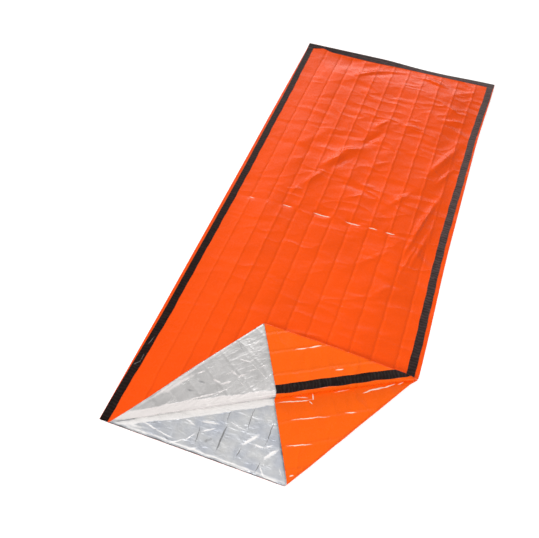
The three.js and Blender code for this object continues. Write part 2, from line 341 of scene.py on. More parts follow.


# Silver up on the turned-back flap. Pale lines are painted highlights on its crinkles, and dark lines, with negative
# marks, are painted shade in their valleys.
FLAP_LINES = table(
    Line,
    (0.485, 0.080, 0.050, 0.006, 55, 0.8),
    (0.505, 0.095, 0.040, 0.005, 0, 0.6),
    (0.485, 0.125, 0.045, 0.005, 20, 0.6),
    (0.520, 0.135, 0.045, 0.005, 10, 0.8),
    (0.495, 0.120, 0.040, 0.004, 80, 0.6),
    (0.500, 0.160, 0.070, 0.004, 90, 0.5),
    (0.430, 0.095, 0.050, 0.010, 80, 0.7),
    (0.445, 0.120, 0.045, 0.010, 20, 0.8),
    (0.370, 0.085, 0.040, 0.010, 70, 0.8),
    (0.390, 0.110, 0.050, 0.010, 25, 0.8),
    (0.425, 0.140, 0.045, 0.004, 90, 0.5),
    (0.365, 0.125, 0.150, 0.004, 5, 0.5),
    (0.350, 0.030, 0.035, 0.006, 15, 0.8),
    (0.290, 0.020, 0.035, 0.006, 20, 0.8),
    (0.415, 0.085, 0.035, 0.005, 15, 0.5),
    (0.540, 0.030, 0.045, 0.005, 85, 0.4),
    (0.560, 0.050, 0.045, 0.005, -15, 0.6),
    (0.150, 0.055, 0.200, 0.008, 0, 0.9),
    (0.277, 0.093, 0.280, 0.007, 21, 0.9),
    (0.267, 0.018, 0.230, 0.024, 4, 0.6),
    # Painted light: a wide pale band along the flap's roll, laid over the roll's shade.
    (0.312, 0.138, 0.690, 0.042, 29, 3.0),
    # A painted highlight along the flap's mouth edge.
    (0.300, 0.006, 0.700, 0.014, 0, 0.5),
    (0.285, 0.060, 0.045, 0.014, 50, -0.4),
    (0.330, 0.060, 0.040, 0.014, 60, -0.4),
    (0.505, 0.030, 0.045, 0.006, -75, -0.4),
)

# Silver up on the bottom film in the open mouth. Pale lines are painted highlights on its crinkles, and dark lines,
# with negative marks, are painted shade in their valleys.
MOUTH_LINES = table(
    Line,
    (0.160, 0.035, 0.080, 0.006, -10, 0.9),
    (0.215, 0.025, 0.080, 0.005, -5, 0.9),
    (0.255, 0.015, 0.070, 0.005, 35, 0.9),
    (0.290, 0.045, 0.070, 0.005, 55, 0.8),
    (0.275, 0.090, 0.045, 0.008, -15, 0.7),
    (0.330, 0.110, 0.080, 0.011, 10, 0.8),
    (0.335, 0.085, 0.075, 0.008, 30, 0.7),
    (0.310, 0.010, 0.040, 0.009, 25, 0.8),
    (0.415, 0.130, 0.085, 0.005, -10, 0.6),
    (0.470, 0.100, 0.100, 0.016, 55, 0.7),
    (0.500, 0.090, 0.055, 0.008, 5, 0.8),
    (0.530, 0.100, 0.035, 0.006, 40, 0.7),
    (0.545, 0.080, 0.090, 0.016, 55, 0.8),
    (0.535, 0.020, 0.050, 0.007, -45, 0.6),
    (0.590, 0.035, 0.055, 0.006, -55, 0.6),
    (0.570, 0.005, 0.055, 0.007, 0, 0.8),
    (0.475, 0.003, 0.090, 0.007, 0, 0.7),
    (0.115, 0.020, 0.110, 0.014, 5, 0.5),
    # Painted light: a wide pale strip under the roll, laid over the shade of the crevice there.
    (0.328, 0.156, 0.690, 0.034, 29, 2.5),
    # A painted highlight just inside the mouth edge, and then a painted contact shadow on the edge itself.
    (0.310, 0.010, 1.200, 0.012, 0, 0.6),
    (0.310, 0.000, 1.200, 0.007, 0, -1.2),
    (0.310, 0.060, 0.085, 0.005, 100, -0.7),
    (0.384, 0.075, 0.130, 0.008, 90, -0.9),
    (0.378, 0.155, 0.080, 0.005, 95, -0.6),
    (0.446, 0.170, 0.130, 0.005, 92, -0.7),
    (0.450, 0.050, 0.045, 0.006, 80, -0.7),
    (0.518, 0.140, 0.120, 0.006, 88, -0.7),
    (0.520, 0.025, 0.050, 0.006, 88, -0.7),
    (0.165, 0.050, 0.035, 0.010, 40, -0.5),
    (0.225, 0.015, 0.050, 0.011, -5, -0.5),
    (0.345, 0.055, 0.055, 0.020, 40, -0.4),
    (0.065, 0.002, 0.090, 0.010, 0, -0.4),
)

# Orange up on the folded corner: the flap's part of it, and the bottom film's. Each line is a painted highlight, a
# pale glint on a low ridge.
UPPER_EAR_GLINTS = table(
    Line,
    (0.748, 0.110, 0.055, 0.006, 92, 0.9),
    (0.746, 0.155, 0.055, 0.006, 92, 1.1),
    (0.843, 0.220, 0.036, 0.006, 90, 1.0),
)
LOWER_EAR_GLINTS = table(
    Line,
    (0.892, 0.065, 0.150, 0.005, 92, 0.9),
    (0.903, 0.088, 0.060, 0.005, 104, 0.6),
    (0.899, 0.126, 0.028, 0.006, 5, 1.2),
    (0.880, 0.115, 0.022, 0.005, -35, 0.8),
    (0.897, 0.335, 0.070, 0.007, 85, 1.2),
    (0.902, 0.380, 0.060, 0.006, 82, 1.0),
    (0.892, 0.305, 0.050, 0.006, 75, 0.9),
    (0.905, 0.420, 0.030, 0.006, 65, 0.9),
    (0.906, 0.220, 0.080, 0.005, 90, 0.5),
    (0.826, 0.100, 0.170, 0.005, 93, 0.7),
    (0.825, 0.235, 0.050, 0.005, 95, 0.8),
    (0.744, 0.055, 0.110, 0.005, 95, 0.8),
    (0.652, 0.016, 0.018, 0.006, 90, 0.9),
)

# Painted highlights: pale glints on crinkles in the left tape near the mouth.
TAPE_GLINTS = table(
    Line,
    (0.019, 0.223, 0.035, 0.005, 50, 0.5),
    (0.026, 0.247, 0.055, 0.005, 88, 0.4),
    (0.024, 0.315, 0.060, 0.005, 80, 0.5),
)
# How far a line with a light mark of 1 rises.
LINE_RISE = 0.0008

# The sharp middles of the packing creases, in the films' finishes.
ENDLESS = 60.0
SHARP_WIDTH = 0.016
SHARP_RISE = 0.0016
SHARP_TURN_ABOUT = 0.015
SILVER_CREASE_SHARE = 0.3

# Irregular ridges in the finishes: turn from the mouth edge, scale, rise and detail.
ORANGE_RUMPLES = (64, 5.0, 0.018, 1.5)
SILVER_RUMPLES = ((20, 13.0, 0.0048, 3.0), (110, 19.0, 0.0028, 3.0))
RUMPLE_STRETCH = 2.4

# Grain, relief and colours of the finishes.
MAP_WAVE = 0.010
# How far past its fold the folded corner's painted light takes to come in.
CORNER_LIGHT_EASE = 0.010
TAPE_FINISH = "black tape"
ORANGE_GRAIN = 0.00015
SILVER_GRAIN = 0.0002
# Pale colour of the painted highlights on the orange film's lines.
ORANGE_GLINT = (0.95, 0.75, 0.62)
# Colours of the painted highlights on the silver: darker for the strongly lit flap, paler for the mouth, which lies
# in shade.
FLAP_HIGHLIGHT = (0.80, 0.75, 0.73)
MOUTH_HIGHLIGHT = (0.97, 0.94, 0.92)
# Painted reflection: the flap's silver is made warmer, as if it mirrored the orange film and warm light.
FLAP_REFLECTED_WARMTH = (0.955, 0.925, 0.890)
MOUTH_SHADE = (0.80, 0.83, 0.91)
# Painted shade in the silver's crease valleys.
SILVER_VALLEY_SHADE = (0.40, 0.40, 0.41)
# Colour of the tape's painted sheen, paler towards the foot and the right side.
TAPE_SHEEN = (0.105, 0.070, 0.067)
# Pale dust in the tape's weave, and the colour of its painted glints.
TAPE_DUST_AND_GLINT = (0.30, 0.28, 0.27)
TAPE_WEAVE = 0.0003
TAPE_BUCKLE = 0.002


class Scatter(NamedTuple):
    """Small seeded wrinkles over a part of the bag, within ranges of place, length, width, turn and rise."""

    seed: int
    count: int
    across: tuple
    along: tuple
    length: tuple
    width: tuple
    turn: tuple
    rise: tuple


FAR_SCATTER = Scatter(
    11, 70, (0.06, 0.85), (1.05, 2.08), (0.070, 0.180), (0.026, 0.046), (40, 80), (-0.0016, 0.0020)
)
NEAR_SCATTER = Scatter(
    12, 50, (0.06, 0.85), (0.45, 1.05), (0.060, 0.160), (0.022, 0.042), (50, 90), (-0.0010, 0.0012)
)
FLAP_SCATTER = Scatter(
    13, 70, (0.08, 0.48), (0.05, 0.50), (0.025, 0.080), (0.009, 0.020), (-40, 75), (-0.0008, 0.0009)
)
MOUTH_SCATTER = Scatter(
    14, 110, (0.06, 0.62), (0.00, 0.26), (0.020, 0.070), (0.008, 0.018), (-70, 80), (-0.0008, 0.0012)
)
EAR_SCATTER = Scatter(
    15, 60, (0.40, 0.90), (0.02, 0.50), (0.025, 0.080), (0.010, 0.022), (0, 60), (-0.0007, 0.0008)
)


class Fold(NamedTuple):
    """A fold line through the pivot, where the folds meet on the right side, and how the film rolls over it.

    `tilt` is its turn from the mouth edge, and `side` is 1 where the film turns up. The roll begins `lead` radians
    before the line, and the turned film slides along it by up to `slide`. The radius grows from `least`, by shares
    of the distance from the line's two ends, up to `radius`. Past the roll, the film sinks towards `rest`.
    """

    tilt: float
    side: int
    radius: float
    least: float
    lead: float
    slide: float
    from_pivot: float
    from_start: float
    rest: float
    sink_length: float


# Heights in the films and their seams, as in the solids.
FILM_HALF = 0.0006
FILM_APART = 0.0004
SEAM_HEIGHT = 3 * FILM_HALF + FILM_APART

# Where the air and the creases begin and are full, from the seams, and how the top film sags at its fold.
SEAM_BAND = 0.045
AIR_EASE = (SEAM_BAND, 0.210)
CREASE_SIDE_EASE = (0.036, 0.062)
CREASE_FOOT_EASE = (0.032, 0.060)
FOLD_SAG = 0.3
FOLD_SAG_REACH = 0.180
TROUGH_SHARE = 0.4

# The foot seam's curl and margin, the folded corner, and the open mouth.
FOOT_CURL_RISE = 0.006
FOOT_CURL_EASE = (0.360, 0.560)
FOOT_CURL_LENGTH = 0.080
FOOT_MARGIN = 0.001
CORNER_RELIEF = 0.006
EAR_LIFT_REACH = 0.024
EAR_LIFT_POWER = 1.5
MOUTH_RISE = 0.0014
MOUTH_RISE_EASE = (0.260, 0.420)

# Where small wrinkles begin and are full, from the rolls of the folds and from the films' edges.
BASE_EASE = (0.0, 0.020)
FLAP_EASE = (0.002, 0.020)
EAR_EASE = (0.002, 0.016)
EAR_SEAM_EASE = (0.004, 0.018)
MOUTH_EASE = (0.0, 0.012)
MOUTH_SIDE_EASE = (0.0, 0.030)
MOUTH_END_EASE = (0.30, 0.45)

# Steps of the grids: in the bands along the films, between two lines across them, and lines across a tape.
TOP_STEPS = (44, 6, 46, 14, 58, 14, 138, 8, 4)
BOTTOM_STEPS = (56, 12, 84, 24, 6, 4)
RIGHT_TAPE_LINES = (0.868, 0.898)
WIDE_FROM = 0.050
WIDE_STEPS = 12
NARROW_STEPS = 6
TAPE_GRID_LINES = 7
MERGE_DISTANCE = 1e-6


def smooth_step(value, low, high):
    """0 at low, 1 at high, and an easy S between them."""
    share = np.clip((value - low) / (high - low), 0.0, 1.0)
    return share * share * (3.0 - 2.0 * share)


def side_at(along, column):
    """A column of SIDES at places along the bag."""
    places = np.array([side.along for side in SIDES])
    values = np.array([getattr(side, column) for side in SIDES])
    row = np.clip(np.searchsorted(places, along, side="right"), 1, len(SIDES) - 1)
    share = smooth_step(along, places[row - 1], places[row])
    return values[row - 1] + (values[row] - values[row - 1]) * share


def rounded_cusp(distance, reach):
    """1 on a crease line, falling off on both sides of it, with a slightly rounded top."""
    rounding = 0.3
    steps = distance / reach
    return np.exp(rounding - np.sqrt(steps * steps + rounding * rounding))


def wrinkle_height(across, along, wrinkles):
    """Height that these wrinkles give at plan places."""
    height = np.zeros_like(across)
    for wrinkle in wrinkles:
        turn = math.radians(wrinkle.turn)
        from_across = across - wrinkle.across
        from_along = along - wrinkle.along
        lengthwise = (from_across * math.cos(turn) + from_along * math.sin(turn)) / (wrinkle.length / 2)
        sideways = (from_along * math.cos(turn) - from_across * math.sin(turn)) / (wrinkle.width / 2)
        height += wrinkle.rise * np.exp(-(lengthwise**2) - sideways**2)
    return height


def scattered(scatter):
    """The wrinkles of a scatter, the same ones every time."""
    seed, count, *ranges = scatter
    chance = random.Random(seed)
    return [Wrinkle(*(chance.uniform(*ends) for ends in ranges)) for _ in range(count)]


class LyingBag:
    """Carries places on the flat films to where they lie in the folded bag."""

    def __init__(self, sizes):
        self.sizes = sizes
        self.width = sizes.width
        self.length = sizes.length
        run = sizes.width - sizes.corner_start
        self.turn_tilt = math.atan2(sizes.corner_climb, run)
        self.turn_length = math.hypot(sizes.corner_climb, run)
        self.half_ear = (math.pi / 2 - self.turn_tilt) / 2
        self.mouth_turn = Fold(
            tilt=self.turn_tilt, side=1, radius=0.0105, least=0.0012, lead=1.25, slide=0.015,
            from_pivot=0.24, from_start=0.02, rest=0.006, sink_length=0.130,
        )
        ear = {"tilt": math.pi / 2 - self.half_ear, "lead": math.pi / 2, "slide": 0.0}
        ear |= {"from_start": math.inf, "sink_length": 0.100}
        self.flap_ear = Fold(side=-1, radius=0.003, least=0.0009, from_pivot=0.1, rest=0.006, **ear)
        self.under_ear = Fold(side=1, radius=0.007, least=0.0012, from_pivot=0.2, rest=0.014, **ear)
        self.hem_start = sizes.length - FOOT_MARGIN - sizes.foot_tape_width
        self.foot_edges = [sizes.length - FOOT_CURL_LENGTH, self.hem_start, sizes.length]
        self.left_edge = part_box("top_panel")[0].x - min(side.left_drift for side in SIDES)
        self.base_wrinkles = [*BASE_WRINKLES, *scattered(FAR_SCATTER), *scattered(NEAR_SCATTER)]
        self.flap_wrinkles = scattered(FLAP_SCATTER)
        self.mouth_wrinkles = scattered(MOUTH_SCATTER)
        self.ear_wrinkles = scattered(EAR_SCATTER)

    def drift(self, across, along):
        """How far the outline's drift moves a plan place across."""
        by_left = 1 - smooth_step(across, *DRIFT_EASE)
        by_right = 1 - smooth_step(self.width - across, *DRIFT_EASE)
        return by_left * side_at(along, "left_drift") + by_right * side_at(along, "right_drift")

    def off_seams(self, across, along, side_ease, foot_ease):
        """0 on the seams, 1 away from them, eased between two distances from the sides and from the foot."""
        from_side = np.minimum(across, self.width - across)
        return smooth_step(from_side, *side_ease) * smooth_step(self.length - along, *foot_ease)

    def clear_of_seams(self, across, along):
        """0 in the flat band along the seams, 1 where the bag is fully raised."""
        return self.off_seams(across, along, AIR_EASE, AIR_EASE)

    def seam_fade(self, across, along):
        """0 under the tapes, 1 a little away from them: where the film may crease."""
        return self.off_seams(across, along, CREASE_SIDE_EASE, CREASE_FOOT_EASE)

    def past_fold(self, across, along):
        """How far places lie past the line of the slanting fold, towards the turned corner."""
        past = (self.sizes.corner_climb - along) * math.cos(self.turn_tilt)
        return past - (self.width - across) * math.sin(self.turn_tilt)

    def foot_curl(self, across, along):
        """The foot seam curls up on its left half."""
        bow = 1 - smooth_step(across, *FOOT_CURL_EASE)
        lift = np.clip((along - self.length + FOOT_CURL_LENGTH) / FOOT_CURL_LENGTH, 0, 1)
        return FOOT_CURL_RISE * bow * lift**2

    def air_height(self, across, along):
        """Height that the bag's air and broad wrinkles give the middle of the top film, which sags at its fold."""
        clear = self.clear_of_seams(across, along)
        behind = -self.past_fold(across, along)
        held = FOLD_SAG + (1 - FOLD_SAG) * smooth_step(behind, 0.0, FOLD_SAG_REACH)
        broad = wrinkle_height(across, along, BROAD_WRINKLES)
        raised = clear * held * self.sizes.air + np.sqrt(clear) * broad
        return SEAM_HEIGHT + raised + self.foot_curl(across, along)

    @staticmethod
    def lengthwise_crease(across, along):
        """Height of the lengthwise packing creases on flat film, ridges up."""
        turn_about = np.clip((CROSS_AT - along) / TURN_ABOUT, -1, 1)
        height = np.zeros_like(across)
        for crease in CREASES:
            height += crease.fold * crease.rise * rounded_cusp(across - crease.across, CREASE_REACH)
        return height * turn_about

    @staticmethod
    def mouth_cross(along):
        """Depth of the crease across the mouth."""
        return MOUTH_CROSS_DEPTH * rounded_cusp(along - MOUTH_CROSS_AT, CREASE_REACH)

    def top_crease(self, across, along):
        """Height of the top film's packing creases before it is folded, orange side up."""
        depth = np.full_like(across, CROSS_DEPTH)
        for dash in CROSS_DASHES:
            begun = smooth_step(across, dash.start - DASH_EASE_OUT, dash.start + DASH_EASE_IN)
            ended = smooth_step(across, dash.end - DASH_EASE_IN, dash.end + DASH_EASE_OUT)
            depth += dash.depth * begun * (1 - ended)
        cross = depth * rounded_cusp(along - CROSS_AT, CROSS_REACH)
        calm = 1 - FLAP_CALM * smooth_step(self.past_fold(across, along), 0.0, FLAP_CALM_REACH)
        height = (self.lengthwise_crease(across, along) - self.mouth_cross(along)) * calm - cross
        return height * self.seam_fade(across, along)

    def bottom_crease(self, across, along):
        """Height of the bottom film's packing creases before its corner is folded, silver side up."""
        in_mouth = 1 - smooth_step(along, *MOUTH_RISE_EASE)
        valleys = np.zeros_like(across)
        for crease in CREASES:
            valleys = np.maximum(valleys, rounded_cusp(across - crease.across, CREASE_REACH))
        raised = MOUTH_RISE * self.clear_of_seams(across, along) * (1 - valleys)
        return in_mouth * (raised - self.mouth_cross(along)) * self.seam_fade(across, along)

    def roll_radius(self, fold, away):
        """A fold's radius, which grows from the pivot and, on the mouth's fold, from its start."""
        radius = np.minimum(fold.radius, fold.from_pivot * away)
        if math.isfinite(fold.from_start):
            radius = np.minimum(radius, fold.from_start * (self.turn_length - away))
        return np.maximum(fold.least, radius)

    def slide_at(self, fold, away, swing):
        """How far the turned film slides along a fold line at a place on it, after a part of its turn."""
        share = np.clip(away / self.turn_length, 0, 1)
        return fold.slide * 4 * share * (1 - share) * swing / math.pi

    def turn_over(self, across, along, up, fold):
        """Turns places of film, `up` from the film's middle, over a fold line."""
        cosine = math.cos(fold.tilt)
        sine = math.sin(fold.tilt)
        from_across = across - self.width
        from_along = along - self.sizes.corner_climb
        away = -from_across * cosine - from_along * sine
        past = from_across * sine - from_along * cosine
        radius = self.roll_radius(fold, away)
        start = -fold.lead * radius
        swing = np.clip((past - start) / radius, 0, math.pi)
        beyond = np.maximum(past - start - math.pi * radius, 0)
        arm = radius - fold.side * up
        reach = start + arm * np.sin(swing) - beyond
        slid = away - self.slide_at(fold, away, swing)
        sunk = np.maximum(2 * radius - fold.rest, 0) * (1 - np.exp(-beyond / fold.sink_length))
        turned = past > start
        return SimpleNamespace(
            across=np.where(turned, self.width - slid * cosine + reach * sine, across),
            along=np.where(turned, self.sizes.corner_climb - slid * sine - reach * cosine, along),
            up=np.where(turned, fold.side * (radius - arm * np.cos(swing) - sunk), up),
            before=np.maximum(start - past, 0),
            beyond=beyond,
        )

    @staticmethod
    def foot_tuck(across, column):
        """A column of FOOT_TUCKS at places across the foot."""
        return sum(
            getattr(tuck, column) * np.exp(-(((across - tuck.across) / (tuck.width / 2)) ** 2))
            for tuck in FOOT_TUCKS
        )

    def in_bag(self, across, along, height):
        """Row-frame points of plan places at a height."""
        x = self.left_edge + across + self.drift(across, along)
        hem_share = np.clip((along - self.hem_start) / (self.length - self.hem_start), 0, 1)
        y = along - hem_share * self.foot_tuck(across, "outer") - self.length / 2
        return np.stack([x, y, height], axis=-1)

    def top_place(self, across, along, up):
        """The top film: its corner turns under the flap, then the flap with it turns back over the base."""
        eared = self.turn_over(across, along, up + self.top_crease(across, along), self.flap_ear)
        lain = self.turn_over(eared.across, eared.along, eared.up, self.mouth_turn)
        on_ear = smooth_step(eared.beyond, *EAR_EASE)
        on_flap = smooth_step(lain.beyond, *FLAP_EASE)
        on_base = smooth_step(lain.before, *BASE_EASE)
        plan = (lain.across, lain.along)
        flap = wrinkle_height(*plan, self.flap_wrinkles)
        ear = wrinkle_height(*plan, self.ear_wrinkles)
        deepest = -TROUGH_SHARE * self.sizes.air * self.clear_of_seams(*plan)
        base = np.maximum(wrinkle_height(*plan, self.base_wrinkles), deepest)
        creased = on_base * base + on_flap * ((1 - on_ear) * flap + on_ear * ear)
        creased = creased * self.seam_fade(across, along)
        return self.in_bag(*plan, lain.up + self.air_height(*plan) + creased)

    def bottom_place(self, across, along, up):
        """The bottom film: flat on the floor, with its corner turned up to meet the top film's corner."""
        lain = self.turn_over(across, along, up + self.bottom_crease(across, along), self.under_ear)
        middle = self.turn_over(across, along, np.zeros_like(up), self.under_ear).up + FILM_HALF
        down = np.maximum(self.sizes.corner_climb - along, 0)
        ear_width = np.maximum(down * math.tan(self.half_ear), 2 * FILM_HALF)
        raised = np.clip(1 - (self.width - across) / ear_width, 0, 1)
        raised = raised * smooth_step(down, 0, EAR_LIFT_REACH)
        cosine = math.cos(self.turn_tilt)
        sine = math.sin(self.turn_tilt)
        lead = self.mouth_turn.lead
        slid = self.slide_at(self.mouth_turn, down, lead)
        seam_across = self.width - (down - slid) * cosine
        seam_along = self.sizes.corner_climb - (down - slid) * sine
        roll = self.roll_radius(self.mouth_turn, down)
        arm = roll + 2 * self.roll_radius(self.flap_ear, down * math.cos(self.half_ear))
        seam_up = roll - arm * math.cos(lead)
        seam_reach = arm * math.sin(lead) - lead * roll
        rise = raised**EAR_LIFT_POWER * (self.air_height(seam_across, seam_along) + seam_up - middle)
        aside = raised * seam_reach
        ahead = raised * slid
        plan = (lain.across + aside * sine + ahead * cosine, lain.along - aside * cosine + ahead * sine)
        on_ear = smooth_step(lain.beyond, *FLAP_EASE) * smooth_step(self.width - across, *EAR_SEAM_EASE)
        in_mouth = smooth_step(lain.before, *MOUTH_EASE) * (1 - smooth_step(along, *MOUTH_END_EASE))
        in_mouth = in_mouth * smooth_step(np.minimum(across, self.width - across), *MOUTH_SIDE_EASE)
        ear = on_ear * wrinkle_height(*plan, self.ear_wrinkles)
        mouth = in_mouth * wrinkle_height(*plan, self.mouth_wrinkles)
        height = lain.up + FILM_HALF + rise + self.foot_curl(*plan) + ear + mouth
        return self.in_bag(*plan, np.maximum(height, self.sizes.film / 2))

    def fold_crossing(self, fold, across):
        """Where the edges of a fold's roll cross a lengthwise line of the film."""
        out = self.width - across
        middle = self.sizes.corner_climb - out * math.tan(fold.tilt)
        radius = self.roll_radius(fold, out / math.cos(fold.tilt)) / math.cos(fold.tilt)
        return [middle - (math.pi - fold.lead) * radius, middle + fold.lead * radius]

    def top_rows(self, across):
        """Rows along the top film at a lengthwise line."""
        edges = [0.0, *self.fold_crossing(self.flap_ear, across), *self.fold_crossing(self.mouth_turn, across)]
        edges += [CROSS_AT - CROSS_BAND, CROSS_AT + CROSS_BAND, *self.foot_edges]
        return band_rows(edges, TOP_STEPS)

    def bottom_rows(self, across):
        """Rows along the bottom film at a lengthwise line."""
        edges = [0.0, *self.fold_crossing(self.under_ear, across), self.sizes.corner_climb + SEAM_BAND]
        return band_rows([*edges, *self.foot_edges], BOTTOM_STEPS)

    def film_columns(self):
        """Lengthwise lines of a film, closer together beside its creases and its sides."""
        edges = [0.0, SEAM_BAND, *(crease.across for crease in CREASES), *RIGHT_TAPE_LINES, self.width]
        columns = []
        for start, end in zip(edges, edges[1:]):
            steps = WIDE_STEPS if end - start > WIDE_FROM else NARROW_STEPS
            shares = (1 - np.cos(np.linspace(0, math.pi, steps, endpoint=False))) / 2
            columns.extend(start + (end - start) * shares)
        return np.array([*columns, self.width])


def band_rows(edges, steps):
    """Every band between two edges split evenly, and held at the mouth edge where a fold hasn't begun."""
    held = [max(float(edge), 0.0) for edge in edges]
    rows = [
        np.linspace(start, end, count, endpoint=False)
        for start, end, count in zip(held, held[1:], steps)
    ]
    return np.concatenate([*rows, held[-1:]])


def mesh_object(name, mesh):
    """A scene object of a bmesh, which it frees."""
    data = bpy.data.meshes.new(name)
    mesh.to_mesh(data)
    mesh.free()
    made = bpy.data.objects.new(name, data)
    bpy.context.scene.collection.objects.link(made)
    return made


def lay_sheet(name, across, along, points, outside_down=False):
    """A sheet object from a grid: flat places become its UV map, and points its vertices."""
    rows, columns = across.shape
    mesh = bmesh.new()
    bmesh.ops.create_grid(mesh, x_segments=columns - 1, y_segments=rows - 1, size=0.5)
    mesh.verts.ensure_lookup_table()
    if len(mesh.verts) != rows * columns:
        raise RuntimeError(f"{name}: the grid has {len(mesh.verts)} vertices, not {rows * columns}")
    flat = {}
    for vertex in mesh.verts:
        column = round((vertex.co.x + 0.5) * (columns - 1))
        row = round((vertex.co.y + 0.5) * (rows - 1))
        flat[vertex] = (across[row, column], along[row, column])
        vertex.co = points[row, column]
    layer = mesh.loops.layers.uv.new("flat")
    for edge in mesh.edges:
        edge.smooth = not edge.is_boundary
    for face in mesh.faces:
        face.smooth = True
        for loop in face.loops:
            loop[layer].uv = flat[loop.vert]
    if outside_down:
        bmesh.ops.reverse_faces(mesh, faces=mesh.faces)
    bmesh.ops.remove_doubles(mesh, verts=mesh.verts, dist=MERGE_DISTANCE)
    bmesh.ops.dissolve_degenerate(mesh, edges=mesh.edges, dist=MERGE_DISTANCE)
    return mesh_object(name, mesh)


def thicken(piece, thickness, materials):
    """Gives a sheet its thickness, with the first material outside and the last one inside and on the rim."""
    for material in materials:
        piece.data.materials.append(material)
    solid = piece.modifiers.new("thickness", "SOLIDIFY")
    solid.thickness = thickness
    solid.offset = 0.0
    solid.material_offset = len(materials) - 1
    solid.material_offset_rim = len(materials) - 1
    solid.use_even_offset = False


class NodeTree:
    """Adds linked nodes to a shader tree."""

    def __init__(self, tree):
        self.tree = tree
        tree.nodes.clear()

    def node(self, kind, inputs=None, **settings):
        """A node of this kind, its inputs set to values or linked from other nodes' sockets."""
        made = self.tree.nodes.new(kind)
        for name, value in settings.items():
            setattr(made, name, value)
        for name, value in (inputs or {}).items():
            if isinstance(value, bpy.types.NodeSocket):
                self.tree.links.new(value, made.inputs[name])
            else:
                made.inputs[name].default_value = value
        return made

    def ramp(self, factor, stops):
        """A colour ramp over a factor, from (place, colour) stops."""
        made = self.node("ShaderNodeValToRGB", {"Fac": factor})
        elements = made.color_ramp.elements
        while len(elements) < len(stops):
            elements.new(0.5)
        for element, (place, colour) in zip(elements, stops):
            element.position = place
            element.color = (*colour, 1.0)
        return made.outputs["Color"]

    def maths(self, operation, *values):
        """A Math node's result."""
        return self.node("ShaderNodeMath", dict(enumerate(values)), operation=operation).outputs["Value"]

    def vectors(self, operation, *values, output="Vector"):
        """A Vector Math node's result."""
        return self.node("ShaderNodeVectorMath", dict(enumerate(values)), operation=operation).outputs[output]

    def noise(self, place, scale, detail, output="Fac", **more):
        """A noise texture on places."""
        inputs = {"Vector": place, "Scale": scale, "Detail": detail, **more}
        return self.node("ShaderNodeTexNoise", inputs).outputs[output]

    def stretch(self, value, low, high, to_low, to_high):
        """A value between low and high, carried to another range and held at its ends."""
        places = {"From Min": low, "From Max": high, "To Min": to_low, "To Max": to_high}
        return self.node("ShaderNodeMapRange", {"Value": value, **places}).outputs["Result"]

    def mix(self, factor, tint, colour):
        """A tint mixed towards a colour by a factor."""
        made = self.node("ShaderNodeMix", {0: factor, 6: tint, 7: (*colour, 1.0)}, data_type="RGBA")
        return made.outputs[2]

    def relief(self, height):
        """The normal of a surface with this height in metres."""
        return self.node("ShaderNodeBump", {"Height": height, "Strength": 1.0, "Distance": 1.0}).outputs["Normal"]

    def surface(self, inputs):
        """Ends the tree with a surface shader that has these inputs."""
        shader = self.node("ShaderNodeBsdfPrincipled", inputs)
        self.node("ShaderNodeOutputMaterial", {"Surface": shader.outputs["BSDF"]})


def new_material(name):
    """An empty node material and its tree."""
    material = bpy.data.materials.new(name)
    material.use_nodes = True
    return material, NodeTree(material.node_tree)


def shaded(colour, factor):
    """A colour made lighter or darker."""
    return tuple(min(channel * factor, 1.0) for channel in colour)


